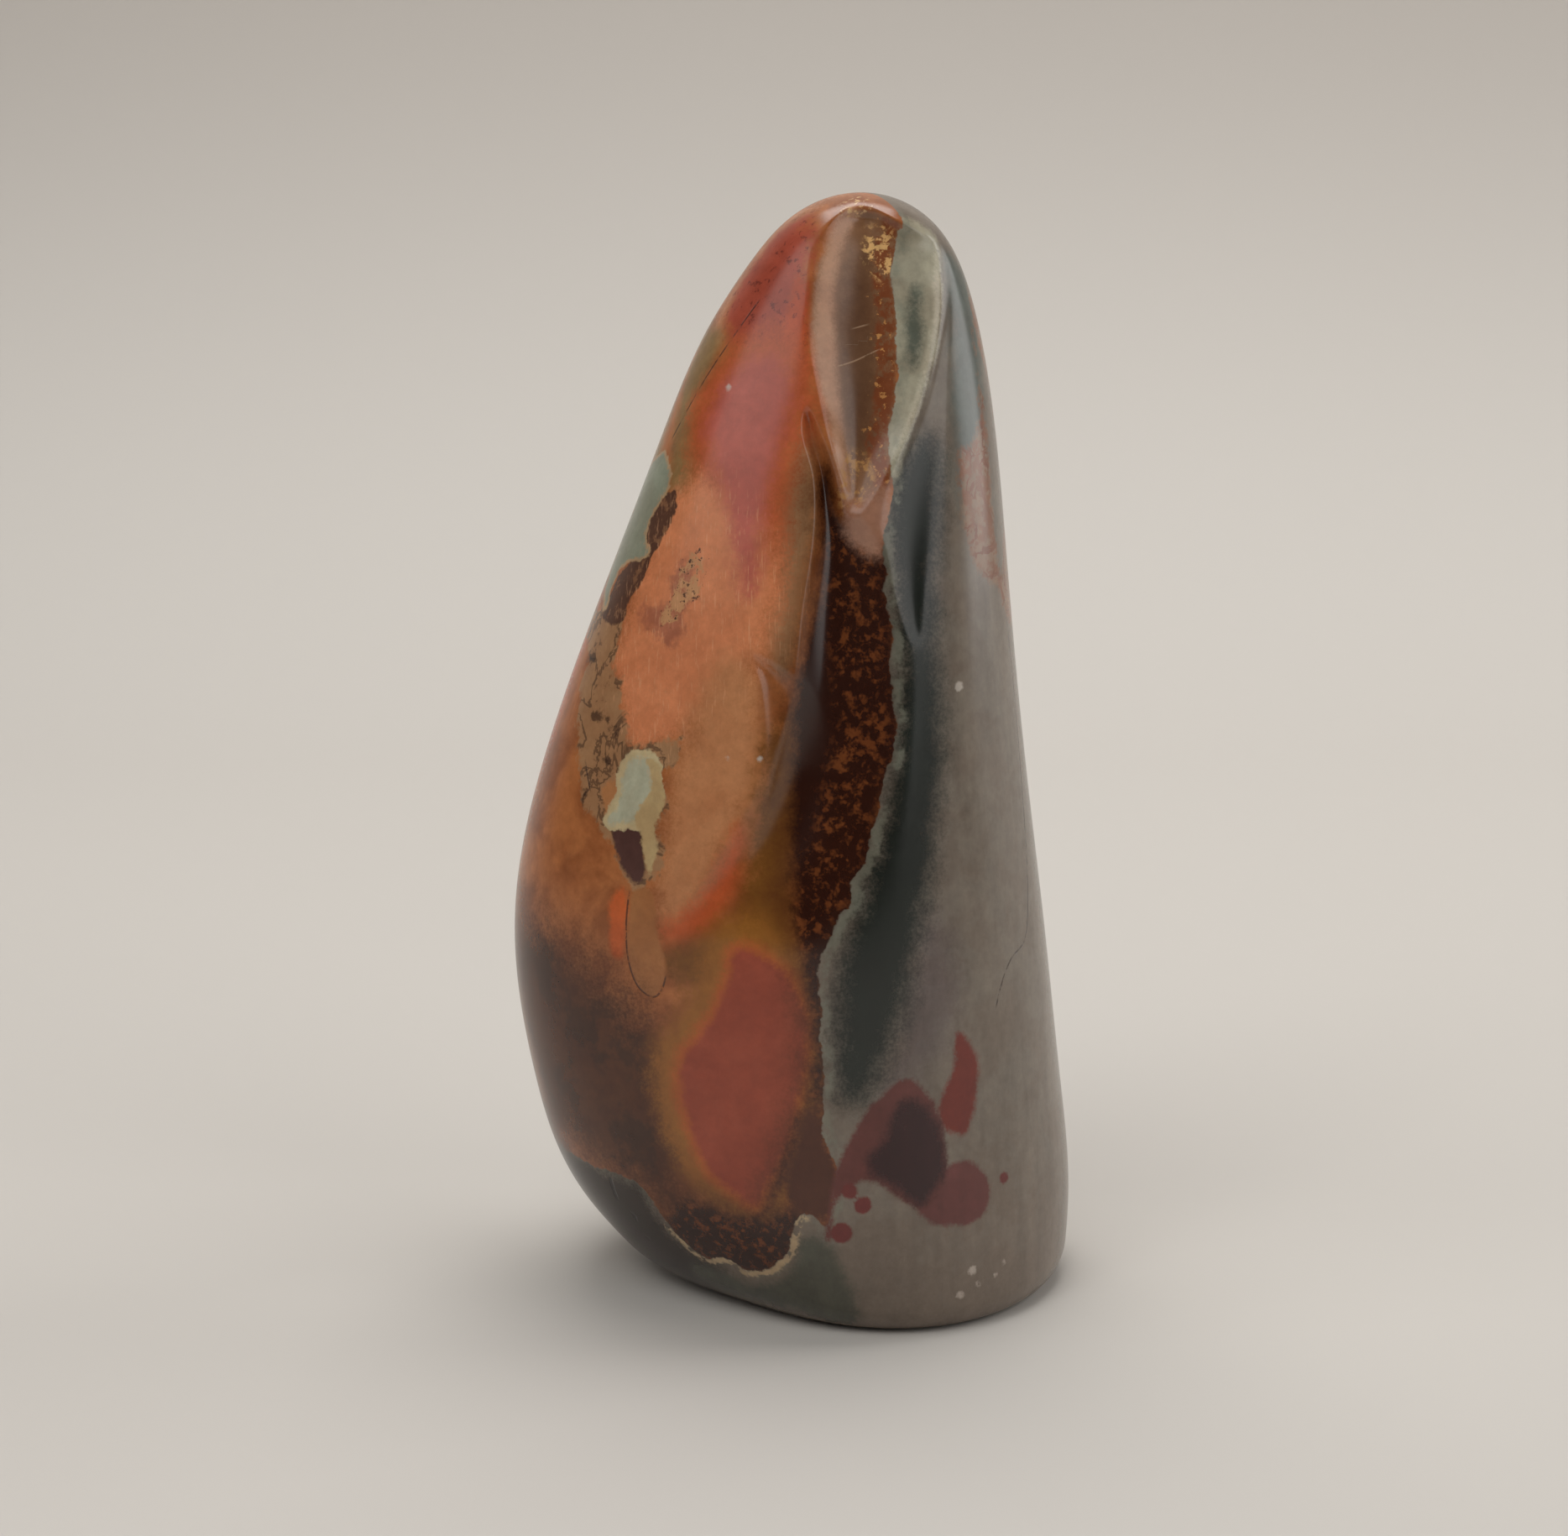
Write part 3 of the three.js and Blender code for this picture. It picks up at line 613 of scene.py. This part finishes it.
# in painting order: the patch, its tone, how soft and how ragged its edge is in millimetres, and more: how
# far it grows beyond its outline, how thick it is if it only follows the edge, its share, the patch that
# it stays under, the noise that breaks it into specks (scale and limits) or draws it as veins (scale and
# width), and whether it stays in the grey stone
coats = [
    ("farSide", (206, 126, 84), 10, 3, {"share": 0.7, "specks": (0.06, 0.5, 0.62)}),
    ("farSide", (122, 92, 50), 10, 3, {"share": 0.8, "specks": (0.075, 0.54, 0.62)}),
    ("farSide", (70, 40, 28), 8, 3, {"share": 0.8, "veins": (0.06, 0.02)}),
    ("lobeBack", (214, 128, 88), 5, 2.5, {}),
    ("roseTop", (180, 89, 75), 4, 2.5, {}),
    ("salmon", (218, 160, 124), 6, 2, {}),
    ("brick", (170, 79, 59), 4.5, 2, {}),
    ("stripe", (188, 84, 47), 2, 0.6, {}),
    ("brick", (97, 40, 33), 4, 2, {"grow": 1, "share": 0.7, "specks": (0.9, 0.56, 0.66)}),
    ("olive", (150, 120, 76), 4, 1.5, {}),
    ("oliveMid", (160, 122, 86), 4, 1, {}),
    ("oliveBack", (130, 92, 55), 5, 3, {}),
    ("rose", (201, 102, 59), 6, 2, {"grow": 3.4}),
    ("roseSide", (201, 102, 59), 6, 2, {"grow": 3.4}),
    ("lobe", (222, 140, 95), 6, 1.5, {"grow": 1}),
    ("tan", (201, 138, 93), 6, 1.5, {}),
    ("rose", (194, 98, 81), 4.5, 1.6, {}),
    ("roseSide", (180, 89, 75), 4, 1.6, {}),
    ("ember", (199, 96, 52), 4, 1.5, {}),
    ("oliveLow", (126, 80, 32), 5, 2.5, {}),
    ("dusk", (172, 130, 92), 1, 2, {}),
    ("dusk", (72, 50, 38), 1, 2, {"share": 0.8, "specks": (0.26, 0.56, 0.66)}),
    ("dusk", (54, 38, 33), 1, 2, {"share": 0.6, "veins": (0.14, 0.03)}),
    ("umber", (94, 63, 48), 0.4, 0.9, {}),
    ("umber", (134, 94, 67), 0.4, 0.9, {"specks": (0.5, 0.56, 0.64)}),
    ("umberBack", (94, 63, 48), 0.6, 3, {}),
    ("umberBack", (178, 146, 108), 0.6, 3, {"specks": (0.22, 0.54, 0.6)}),
    ("cool", (74, 38, 20), 3, 3, {"grow": 8, "thick": 8, "under": "farSide"}),
    ("cool", (150, 86, 40), 2, 2,
     {"grow": 7, "thick": 6.6, "under": "farSide", "share": 0.8, "specks": (0.3, 0.52, 0.62)}),
    ("verdigris", (185, 153, 115), 0.4, 0.9, {"grow": 0.5}),
    ("verdigris", (144, 150, 130), 0.6, 0.9, {}),
    ("sandRim", (192, 134, 86), 0.8, 0.8, {}),
    ("plumBrown", (90, 60, 54), 0.8, 0.9, {}),
    ("island", (206, 188, 146), 0.4, 0.9, {"grow": 0.5}),
    ("island", (188, 188, 162), 0.8, 1.4, {"grow": -0.6}),
    ("ivory", (197, 171, 124), 0.5, 0.9, {}),
    ("sliver", (210, 103, 49), 1.4, 0.8, {}),
    ("taupeLobe", (174, 115, 68), 0.7, 0.6, {}),
    ("smudge", (149, 89, 73), 2, 2.4, {"share": 0.6}),
    ("cluster", (201, 148, 102), 0.7, 2, {"specks": (0.6, 0.4, 0.5)}),
    ("cluster", (90, 58, 42), 0.7, 2, {"grow": 0.5, "specks": (1.2, 0.57, 0.62)}),
    # the stone's darker brown of the lower left, partly painted shade
    ("umberLowAndShade", (70, 32, 8), 14, 3, {"grow": 2, "share": 0.92}),
    ("umberLowAndShade", (44, 24, 12), 10, 3, {"share": 0.5, "specks": (0.12, 0.5, 0.6)}),
    ("roseLow", (158, 102, 42), 5, 1.5, {"grow": 4.5}),
    ("roseLow", (184, 96, 42), 2.4, 0.8, {"grow": 1.2}),
    ("roseLow", (160, 72, 48), 1.6, 0.8, {}),
    # the valley's dark brown, its core deepened as painted shade
    ("umberTopAndShade", (88, 48, 22), 7, 2, {"grow": 2.5, "share": 0.75}),
    ("umberTopAndShade", (52, 22, 9), 2.4, 1.2, {}),
    ("cool", (132, 74, 36), 3, 1,
     {"grow": 8, "thick": 7.4, "under": "umberTopAndShade", "share": 0.75, "specks": (0.7, 0.48, 0.64)}),
    ("subBand", (84, 44, 26), 2, 1.2, {}),
    ("scoopBrown", (141, 102, 72), 1.4, 0.8, {}),
    ("scoopDeep", (108, 76, 53), 5, 1, {}),
    ("cool", (131, 69, 37), 1, 0.8,
     {"grow": 2.8, "thick": 2.6, "under": "scoopBrown", "share": 0.85, "specks": (0.5, 0.4, 0.52)}),
    ("cool", (198, 142, 84), 1, 0.8,
     {"grow": 3.4, "thick": 3, "under": "scoopBrown", "specks": (1.1, 0.59, 0.64)}),
    # painted highlight along the inside of the scoop's left rim
    ("rimPaintedHighlight", (206, 158, 126), 1.8, 0.4, {"share": 0.72}),
    # painted highlight on the rise below the scoop
    ("saddlePaintedHighlight", (174, 129, 105), 3, 1, {}),
    ("gold", (225, 179, 117), 2, 1, {"specks": (0.9, 0.5, 0.58)}),
    ("goldTop", (230, 192, 138), 1.4, 1, {"specks": (1.0, 0.5, 0.58)}),
    ("goldLow", (197, 148, 89), 2, 1, {"share": 0.8, "specks": (0.7, 0.48, 0.6)}),
    ("cool", (126, 116, 104), 0.3, 0.7, {}),
    ("haze", (98, 86, 84), 7, 2, {"cool": True, "share": 0.8}),
    ("farSide", (104, 112, 104), 8, 2, {"cool": True, "share": 0.7, "specks": (0.05, 0.48, 0.6)}),
    ("farSide", (118, 98, 92), 8, 2, {"cool": True, "share": 0.6, "specks": (0.08, 0.5, 0.62)}),
    ("farSide", (118, 54, 48), 8, 1, {"cool": True, "share": 0.9, "specks": (0.11, 0.66, 0.68)}),
    ("farSide", (64, 50, 44), 8, 2, {"cool": True, "share": 0.5, "veins": (0.035, 0.005)}),
    ("inkTeal", (30, 36, 30), 6, 1.6, {"cool": True, "grow": 1.6}),
    ("inkBack", (65, 75, 70), 8, 3, {"cool": True}),
    ("groovePale", (90, 98, 91), 4, 1, {"cool": True}),
    ("rustEdge", (156, 120, 92), 2, 1.6, {"cool": True, "share": 0.7}),
    ("rustEdge", (126, 70, 44), 1.6, 1.6, {"cool": True, "share": 0.9, "veins": (0.16, 0.04)}),
    ("rustEdge", (138, 90, 64), 1.6, 1.6, {"cool": True, "share": 0.9, "specks": (0.34, 0.46, 0.56)}),
    # the stone's pale teal, partly a painted reflection
    ("paleTealAndReflection", (168, 163, 142), 1.8, 1, {"cool": True}),
    ("inkStreak", (98, 103, 91), 2.4, 1, {"cool": True}),
    # painted highlight on the scoop's right rim
    ("rimLinePaintedHighlight", (206, 200, 178), 1, 0.3, {"cool": True, "share": 0.8}),
    ("cool", (132, 136, 120), 1, 0.9,
     {"thick": 1.4, "share": 0.5, "specks": (0.22, 0.42, 0.56), "cool": True}),
    # painted shade over the lavender grey of the lower left
    ("lavenderPaintedShade", (52, 40, 32), 6, 1.5, {"cool": True}),
    ("baseTeal", (86, 88, 76), 3, 1, {"cool": True}),
    ("cool", (194, 174, 139), 0.6, 1,
     {"thick": 1.1, "under": "creamRim", "cool": True, "specks": (0.4, 0.4, 0.5)}),
    ("flame", (120, 46, 34), 1.2, 0.6, {}),
    ("flameBack", (146, 70, 58), 1.2, 0.8, {}),
    ("blotLobe", (108, 58, 54), 1, 0.6, {}),
    ("blot", (104, 54, 48), 1, 0.6, {}),
    ("blotBack", (116, 62, 60), 1, 0.8, {}),
    ("blotCore", (52, 18, 20), 2.4, 0.8, {}),
    ("roseBack", (150, 88, 63), 2, 1.4, {"grow": 1.2}),
    ("roseBack", (143, 66, 61), 1.4, 1.4, {}),
    ("roseBack", (96, 46, 46), 4, 1.6, {"grow": -5}),
    ("plumDots", (111, 44, 40), 0.5, 0.3, {}),
    ("whiteSpecks", (210, 203, 193), 0.5, 0.5, {"share": 0.7}),
]
lines = [  # fine lines: the seam, its tone, how strong it is and its half width in millimetres
    {"seam": "cracks", "tone": (48, 30, 24), "share": 0.75, "width": 0.09},
    {"seam": "marks", "tone": (24, 18, 18), "share": 0.9, "width": 0.22},
    {"seam": "scratches", "tone": (190, 156, 126), "share": 0.5, "width": 0.07},
]
noises = {  # the scale, detail, roughness and distortion of each
    "cloud": (0.13, 5, 0.6, 0.4),
    "grain": (2.2, 4, 0.7),
    "mottle": (0.6, 5, 0.65),
    "veil": (0.3, 4, 0.6),
    "brush": (1, 3, 0.6),
    "ripple": (0.05, 1, 0.4),
}
noiseMiddle = 0.5
# the stone's finish: the wobbles that make edges ragged (scale, detail and millimetres), the noise of specks
# and veins without its scale, the limits of each smooth run, how strongly each noise tints the stone, and
# the painted shade that darkens it towards the foot
finish = {
    "wobbles": [(0.1, 1, 1.2), (0.32, 2, 2), (1.3, 4, 1.2)],
    "wobbleRoughness": 0.6,
    "specks": (5, 0.65),
    "veins": (4, 0.6, 0.6),
    "veinCore": 1 / 3,
    "cloudRun": (0.36, 0.64),
    "grainRun": (0.3, 0.7),
    "coolRagged": 0.7,
    "coolRun": (-0.15, 0.15),
    "underRun": (-0.4, 0.4),
    "groundTones": [(182, 112, 64), (156, 92, 50)],
    "mottleTint": 0.5,
    "grainTint": 0.1,
    "veilTint": 0.7,
    "veilStretch": (1, 1, 0.16),
    "deeper": (0.8, 0.72, 0.68),
    "cloudDeeper": 0.6,
    "grainDeeper": 0.2,
    # painted shade: the stone darkens from 34 mm down to the foot
    "paintedFootShade": (34, 2, 0.8),
    "rippleHeight": 0.05,
    "roughness": 0.2,
    "grainRough": 0.05,
    "ior": 1.54,
}
strokes = {  # the fine polishing strokes on the lobe
    "turn": (0, 0.45, 0),
    "stretch": (3.2, 1, 0.28),
    "run": (0.56, 0.7),
    "ragged": 2,
    "grow": 3,
    "fade": (-4, 4),
    "tone": (236, 176, 132),
    "share": 0.45,
    "height": 0.003,
}
lineCut = {  # how the fine lines break up, end and are cut in
    "ragged": 0.05,
    "ends": (-0.2, 1),
    "breaks": (0.38, 0.5),
    "depth": 0.2,
}


def jasperMaterial():
    material = bpy.data.materials.new("polishedJasper")
    material.use_nodes = True
    make = Maker(material.node_tree)
    place = make.node("ShaderNodeTexCoord", output="Object")
    space = make.node("ShaderNodeMapping", {}, {"Vector": place, "Scale": (1 / mm, 1 / mm, 1 / mm)})
    wobble = 0
    for scale, detail, size in finish["wobbles"]:
        wave = make.noise(space, scale, detail, finish["wobbleRoughness"])
        wobble = wave * size - size * noiseMiddle + wobble
    cloud = make.noise(space, *noises["cloud"]).step(*finish["cloudRun"])
    grain = make.noise(space, *noises["grain"]).step(*finish["grainRun"])
    mottle = make.noise(space, *noises["mottle"])
    long = make.node("ShaderNodeMapping", {}, {"Vector": space, "Scale": finish["veilStretch"]})
    veil = make.noise(long, *noises["veil"])
    coolShare = (make.field("cool") + wobble * finish["coolRagged"]).step(*finish["coolRun"])

    # the coats, each over the ones before it
    ground = make.mix(cloud, *[linear(tone) for tone in finish["groundTones"]])
    for patch, tone, soft, ragged, more in coats:
        half = soft / 2
        grainPart = half / 2
        edge = grain.scaledOnto(grainPart, wobble.scaledOnto(ragged, make.field(patch)))
        middle = grainPart / 2 - more.get("grow", 0)
        share = edge.step(middle - half, middle + half, more.get("share", 1))
        if "thick" in more:
            far = middle + more["thick"]
            share = share * edge.step(far + half, far - half)
        if "under" in more:
            share = share * wobble.scaledOnto(1, make.field(more["under"])).step(*finish["underRun"])
        if "specks" in more:
            scale, low, high = more["specks"]
            share = share * make.noise(space, scale, *finish["specks"]).step(low, high)
        if "veins" in more:
            scale, width = more["veins"]
            vein = abs(make.noise(space, scale, *finish["veins"]) - noiseMiddle)
            share = share * vein.step(width, width * finish["veinCore"])
        if more.get("cool"):
            share = share * coolShare
        ground = make.mix(share, ground, linear(tone))

    # the polishing strokes, the mottles that make the stone lighter and deeper, and a painted shade that deepens it
    # towards the foot
    inputs = {"Vector": space, "Rotation": strokes["turn"], "Scale": strokes["stretch"]}
    brush = make.noise(make.node("ShaderNodeMapping", {}, inputs), *noises["brush"]).step(*strokes["run"])
    brush = brush * (make.field("lobe") + wobble * strokes["ragged"] + strokes["grow"]).step(*strokes["fade"])
    ground = make.mix(brush * strokes["share"], ground, linear(strokes["tone"]))
    tint = (mottle - noiseMiddle) * finish["mottleTint"] + (grain - noiseMiddle) * finish["grainTint"]
    tint = tint + (veil - noiseMiddle) * coolShare * finish["veilTint"] + 1
    ground = make.node("ShaderNodeVectorMath", {"operation": "SCALE"}, {0: ground, "Scale": tint})
    deeper = make.node("ShaderNodeVectorMath", {"operation": "MULTIPLY"}, {0: ground, 1: finish["deeper"]})
    # painted shade near the foot, by height
    low = make.node("ShaderNodeSeparateXYZ", {}, {"Vector": space}, output="Z").step(*finish["paintedFootShade"])
    ground = make.mix(cloud * finish["cloudDeeper"] + grain * finish["grainDeeper"] + low, ground, deeper)

    # the fine lines, and the surface
    depth = 0
    for line in lines:
        width = line["width"]
        share = (abs(make.field(line["seam"])) + wobble * lineCut["ragged"]).step(width * 2, width)
        share = share * make.field(line["seam"] + "Reach").step(*lineCut["ends"])
        share = share * mottle.step(*lineCut["breaks"])
        ground = make.mix(share * line["share"], ground, linear(line["tone"]))
        depth = share * width + depth

    ripple = make.noise(space, *noises["ripple"]) * finish["rippleHeight"]
    height = ripple - depth * lineCut["depth"] + brush * strokes["height"]
    bump = make.node("ShaderNodeBump", {}, {"Strength": 1, "Distance": mm, "Height": height})
    rough = grain * finish["grainRough"] + finish["roughness"]
    inputs = {"Base Color": ground, "Roughness": rough, "IOR": finish["ior"], "Normal": bump}
    shader = make.node("ShaderNodeBsdfPrincipled", {}, inputs)
    make.node("ShaderNodeOutputMaterial", {}, {"Surface": shader})
    return material


def makeStone(camera):
    bm = shapeStone()
    print("stone shaped")
    fields = markStone(bm, camera)
    print("patches marked:", len(fields))
    mesh = bpy.data.meshes.new("polishedStone")
    bm.to_mesh(mesh)
    bm.free()
    for name, values in fields.items():
        attribute = mesh.attributes.new(name + "Patch", "FLOAT", "POINT")
        attribute.data.foreach_set("value", values.astype(np.float32))
    stone = bpy.data.objects.new("polishedStone", mesh)
    bpy.context.scene.collection.objects.link(stone)
    mesh.materials.append(jasperMaterial())
    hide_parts("jasper_stone")
    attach(stone, "root")
    print("stone finished")


# the studio, in metres: a pale sweep that curves up behind the stone, with painted shade that darkens it as it rises
studio = {
    "halfWidth": 2.4,
    "front": -2.0,
    "back": 0.75,
    "curve": 0.35,
    "top": 2.2,
    "curveSteps": 24,
    "tone": (210, 206, 200),
    "paintedFalloffTone": (180, 174, 167),
    "paintedFalloffRun": (0, 0.3),
    "roughness": 0.7,
    "world": (0.035, 0.035, 0.037),
}
# soft lights, in metres and watts
lights = {
    "overhead": {
        "place": (0, 0.3, 1.1), "aim": (0, 0.32, 0), "size": (0.8, 0.6), "power": 6.6, "tone": (1, 0.98, 0.955),
    },
    "left": {
        "place": (-1.1, -0.6, 1.1), "aim": (0, 0, 0.08), "size": (1.1, 1.1), "power": 5, "tone": (1, 0.98, 0.96),
    },
    "right": {
        "place": (0.85, -0.6, 0.6), "aim": (0, 0, 0.1), "size": (0.7, 1.0), "power": 3, "tone": (1, 0.98, 0.96),
    },
    "side": {
        "place": (1.1, 0.3, 0.5), "aim": (0, 0, 0.08), "size": (0.6, 0.9), "power": 4, "tone": (1, 0.98, 0.96),
    },
    "fill": {
        "place": (-0.35, -0.7, 1.2), "aim": (0, 0, 0.1), "size": (0.7, 0.7), "power": 4.2, "tone": (1, 0.99, 0.97),
        "glossy": False,
    },
}


def makeSweep():
    bm = bmesh.new()
    ends = [bm.verts.new((side * studio["halfWidth"], studio["front"], 0)) for side in (-1, 1)]
    edges = [bm.edges.new(ends)]

    def runsAcross(edge):
        return edge.is_boundary and abs(edge.verts[0].co.x - edge.verts[1].co.x) > studio["halfWidth"]

    def drawOut(edges, along):
        out = bmesh.ops.extrude_edge_only(bm, edges=edges)["geom"]
        bmesh.ops.translate(bm, verts=[v for v in out if isinstance(v, bmesh.types.BMVert)], vec=along)
        return [e for e in out if isinstance(e, bmesh.types.BMEdge) and runsAcross(e)]

    bend = studio["back"] - studio["curve"]
    edges = drawOut(edges, (0, bend - studio["front"], 0))
    turned = bmesh.ops.spin(bm, geom=edges + list(edges[0].verts), angle=math.pi / 2, axis=(1, 0, 0),
                            steps=studio["curveSteps"], cent=(0, bend, studio["curve"]))["geom_last"]
    drawOut([e for e in turned if isinstance(e, bmesh.types.BMEdge)], (0, 0, studio["top"] - studio["curve"]))
    bmesh.ops.recalc_face_normals(bm, faces=bm.faces)
    for face in bm.faces:
        face.smooth = True
    mesh = bpy.data.meshes.new("sweep")
    bm.to_mesh(mesh)
    bm.free()
    material = bpy.data.materials.new("paleSweep")
    material.use_nodes = True
    make = Maker(material.node_tree)
    place = make.node("ShaderNodeTexCoord", output="Object")
    rise = make.node("ShaderNodeSeparateXYZ", {}, {"Vector": place}, output="Z")
    # painted shade: the sweep's tone darkens from the floor to 0.3 m up the backdrop
    tone = make.mix(rise.step(*studio["paintedFalloffRun"]), linear(studio["tone"]), linear(studio["paintedFalloffTone"]))
    shader = make.node("ShaderNodeBsdfPrincipled", {}, {"Base Color": tone, "Roughness": studio["roughness"]})
    make.node("ShaderNodeOutputMaterial", {}, {"Surface": shader})
    mesh.materials.append(material)
    sweep = bpy.data.objects.new("sweep", mesh)
    bpy.context.scene.collection.objects.link(sweep)


def makeLights():
    for name, light in lights.items():
        data = bpy.data.lights.new(name, "AREA")
        data.shape = "RECTANGLE"
        data.size, data.size_y = light["size"]
        data.energy = light["power"]
        data.color = light["tone"]
        lamp = bpy.data.objects.new(name, data)
        lamp.visible_glossy = light.get("glossy", True)
        lamp.location = light["place"]
        way = Vector(light["aim"]) - Vector(light["place"])
        lamp.rotation_euler = way.to_track_quat("-Z", "Y").to_euler()
        bpy.context.scene.collection.objects.link(lamp)
    world = bpy.data.worlds.new("studioWorld")
    world.use_nodes = True
    make = Maker(world.node_tree)
    glow = make.node("ShaderNodeBackground", {}, {"Color": studio["world"] + (1,), "Strength": 1})
    make.node("ShaderNodeOutputWorld", {}, {"Surface": glow})
    bpy.context.scene.world = world
    bpy.context.scene.view_settings.view_transform = "Standard"


camera = makeCamera()
bpy.context.view_layer.update()
makeStone(camera)
makeSweep()
makeLights()
print("studio ready")
